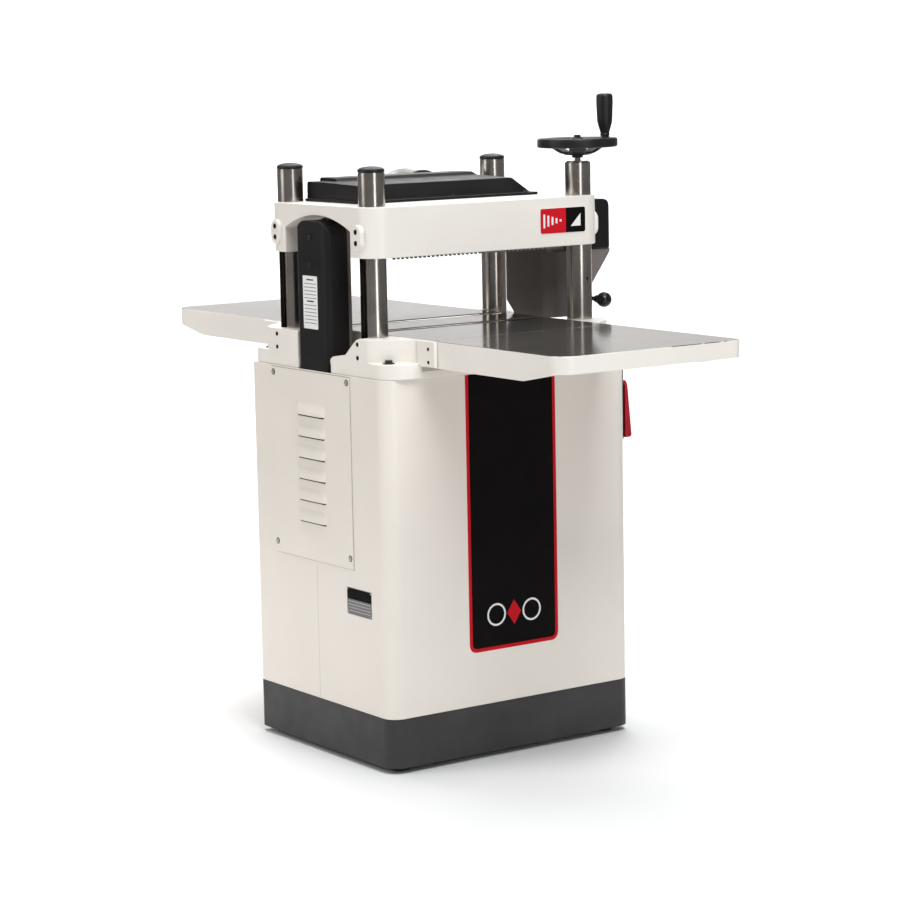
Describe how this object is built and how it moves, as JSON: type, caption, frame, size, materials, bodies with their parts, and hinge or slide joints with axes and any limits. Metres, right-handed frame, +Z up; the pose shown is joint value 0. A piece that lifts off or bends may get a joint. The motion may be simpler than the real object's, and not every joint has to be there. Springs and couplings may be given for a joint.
{
  "type": "thickness planer",
  "caption": "Four-post thickness planer: a cutterhead in a head that slides on round columns over a fixed bed with long wings, on a closed cabinet stand.",
  "frame": {"origin": "centre of the footprint of the whole machine, on the floor", "axes": "+Z up, +Y the direction the board travels (infeed at -Y, outfeed at +Y), +X towards the gearbox and switch side"},
  "size_m": [0.6198, 1.2192, 1.142],
  "materials": {
    "paint_cream": "semi-gloss cream-white enamel",
    "paint_dark_grey": "satin dark grey enamel",
    "paint_black": "semi-matte black coating",
    "paint_grey": "plain grey coating",
    "paint_motor": "satin machine grey",
    "black_plastic": "moulded black plastic",
    "ground_iron": "ground and polished grey cast iron",
    "ground_steel": "ground round bar",
    "cut_steel": "machined steel",
    "bronze": "cast bronze",
    "rubber_black": "moulded rubber",
    "red_plastic": "gloss red plastic",
    "green_plastic": "gloss green plastic"
  },
  "bodies": {
    "stand": {"foot_lf": "rubber_black", "foot_rf": "rubber_black", "foot_lr": "rubber_black", "foot_rr": "rubber_black", "plinth": "paint_dark_grey", "cabinet_shell": "paint_cream", "louvre_panel": "paint_cream", "rear_panel": "paint_cream", "base_casting": "paint_cream", "infeed_wing": "paint_cream", "outfeed_wing": "paint_cream", "main_table": "ground_iron", "column_lf": "ground_steel", "column_rf": "ground_steel", "column_lr": "ground_steel", "column_rr": "ground_steel", "column_cap_lf": "black_plastic", "column_cap_lr": "black_plastic", "column_cap_rr": "black_plastic", "switch_box": "black_plastic", "cable_gland": "black_plastic", "column_bushing": "cut_steel", "elevation_chain": "cut_steel"},
    "head": {"head_casting": "paint_cream", "lead_nut_lf": "bronze", "lead_nut_rf": "bronze", "lead_nut_lr": "bronze", "lead_nut_rr": "bronze", "hood": "paint_black", "dust_chute": "paint_black", "dust_port": "paint_grey", "belt_guard": "paint_black", "motor_hanger": "paint_dark_grey", "motor": "paint_motor", "drive_belt": "rubber_black", "pressure_bar": "cut_steel", "gear_case": "paint_dark_grey", "gear_cover": "paint_black"},
    "handwheel": {"handwheel": "paint_black", "lead_screw_rf": "cut_steel"},
    "handle": {"handle": "black_plastic"},
    "screw_lf": {"lead_screw_lf": "cut_steel"},
    "screw_lr": {"lead_screw_lr": "cut_steel"},
    "screw_rr": {"lead_screw_rr": "cut_steel"},
    "chain_idler": {"chain_idler": "cut_steel"},
    "bed_roller_front": {"bed_roller_front": "ground_steel"},
    "bed_roller_rear": {"bed_roller_rear": "ground_steel"},
    "stop_paddle": {"stop_paddle": "red_plastic"},
    "start_button": {"start_button": "green_plastic"},
    "cutterhead": {"cutterhead": "cut_steel", "cutterhead_pulley": "cut_steel"},
    "motor_rotor": {"motor_pulley": "cut_steel"},
    "infeed_roller": {"infeed_roller": "cut_steel"},
    "outfeed_roller": {"outfeed_roller": "cut_steel"},
    "kickback_fingers": {"kickback_fingers": "cut_steel"},
    "chip_breaker": {"chip_breaker": "cut_steel"},
    "shift_knob": {"shift_knob": "black_plastic"}
  },
  "joints": [
    {"name": "handwheel_turn", "type": "hinge", "parent": "stand", "child": "handwheel", "pos_m": [0.17995, -0.129, 1.05], "axis": [0, 0, 1], "range_deg": [-4325, 22325]},
    {"name": "head_slide", "type": "slide", "parent": "stand", "child": "head", "axis": [0, 0, 1], "range_m": [-0.124, 0.024]},
    {"name": "screw_lf_turn", "type": "hinge", "parent": "stand", "child": "screw_lf", "pos_m": [-0.26005, -0.129, 0.8], "axis": [0, 0, 1], "range_deg": [-4325, 22325]},
    {"name": "screw_lr_turn", "type": "hinge", "parent": "stand", "child": "screw_lr", "pos_m": [-0.26005, 0.129, 0.8], "axis": [0, 0, 1], "range_deg": [-4325, 22325]},
    {"name": "screw_rr_turn", "type": "hinge", "parent": "stand", "child": "screw_rr", "pos_m": [0.17995, 0.129, 0.8], "axis": [0, 0, 1], "range_deg": [-4325, 22325]},
    {"name": "chain_idler_turn", "type": "hinge", "parent": "stand", "child": "chain_idler", "pos_m": [-0.20005, 0, 0.59], "axis": [0, 0, 1], "range_deg": [-29770, 5770]},
    {"name": "handle_spin", "type": "hinge", "parent": "handwheel", "child": "handle", "pos_m": [0.23763, -0.13506, 1.1], "axis": [0, 0, 1], "continuous": true},
    {"name": "bed_roller_front_spin", "type": "hinge", "parent": "stand", "child": "bed_roller_front", "pos_m": [-0.04005, -0.062, 0.7282], "axis": [1, 0, 0], "continuous": true},
    {"name": "bed_roller_rear_spin", "type": "hinge", "parent": "stand", "child": "bed_roller_rear", "pos_m": [-0.04005, 0.062, 0.7282], "axis": [1, 0, 0], "continuous": true},
    {"name": "stop_paddle_press", "type": "hinge", "parent": "stand", "child": "stop_paddle", "pos_m": [0.23895, -0.158, 0.629], "axis": [0, 1, 0], "range_deg": [0, 2], "stiffness_Nm_per_rad": 5},
    {"name": "start_button_press", "type": "slide", "parent": "stand", "child": "start_button", "axis": [-1, 0, 0], "range_m": [0, 0.003], "stiffness_N_per_m": 300},
    {"name": "cutterhead_spin", "type": "hinge", "parent": "head", "child": "cutterhead", "pos_m": [-0.04005, 0, 0.907], "axis": [1, 0, 0], "continuous": true},
    {"name": "motor_spin", "type": "hinge", "parent": "head", "child": "motor_rotor", "pos_m": [-0.24005, 0.007, 0.47], "axis": [1, 0, 0], "continuous": true},
    {"name": "infeed_roller_spin", "type": "hinge", "parent": "head", "child": "infeed_roller", "pos_m": [-0.04005, -0.082, 0.8962], "axis": [1, 0, 0], "continuous": true},
    {"name": "outfeed_roller_spin", "type": "hinge", "parent": "head", "child": "outfeed_roller", "pos_m": [-0.04005, 0.082, 0.8962], "axis": [1, 0, 0], "continuous": true},
    {"name": "kickback_swing", "type": "hinge", "parent": "head", "child": "kickback_fingers", "pos_m": [-0.04005, -0.132, 0.92], "axis": [1, 0, 0], "range_deg": [0, 18]},
    {"name": "chip_breaker_lift", "type": "hinge", "parent": "head", "child": "chip_breaker", "pos_m": [-0.04005, -0.05, 0.944], "axis": [1, 0, 0], "range_deg": [0, 4]},
    {"name": "feed_shift", "type": "slide", "parent": "head", "child": "shift_knob", "axis": [0, 1, 0], "range_m": [-0.01, 0.01]}
  ],
  "couplings": [
    {"joint": "handwheel_turn", "follows": "head_slide", "rad_per_m": -3141.6},
    {"joint": "screw_lf_turn", "follows": "head_slide", "rad_per_m": -3141.6},
    {"joint": "screw_lr_turn", "follows": "head_slide", "rad_per_m": -3141.6},
    {"joint": "screw_rr_turn", "follows": "head_slide", "rad_per_m": -3141.6},
    {"joint": "chain_idler_turn", "follows": "head_slide", "rad_per_m": 4188.8},
    {"joint": "motor_spin", "follows": "cutterhead_spin", "ratio": 0.68657},
    {"joint": "outfeed_roller_spin", "follows": "infeed_roller_spin", "ratio": 1}
  ]
}
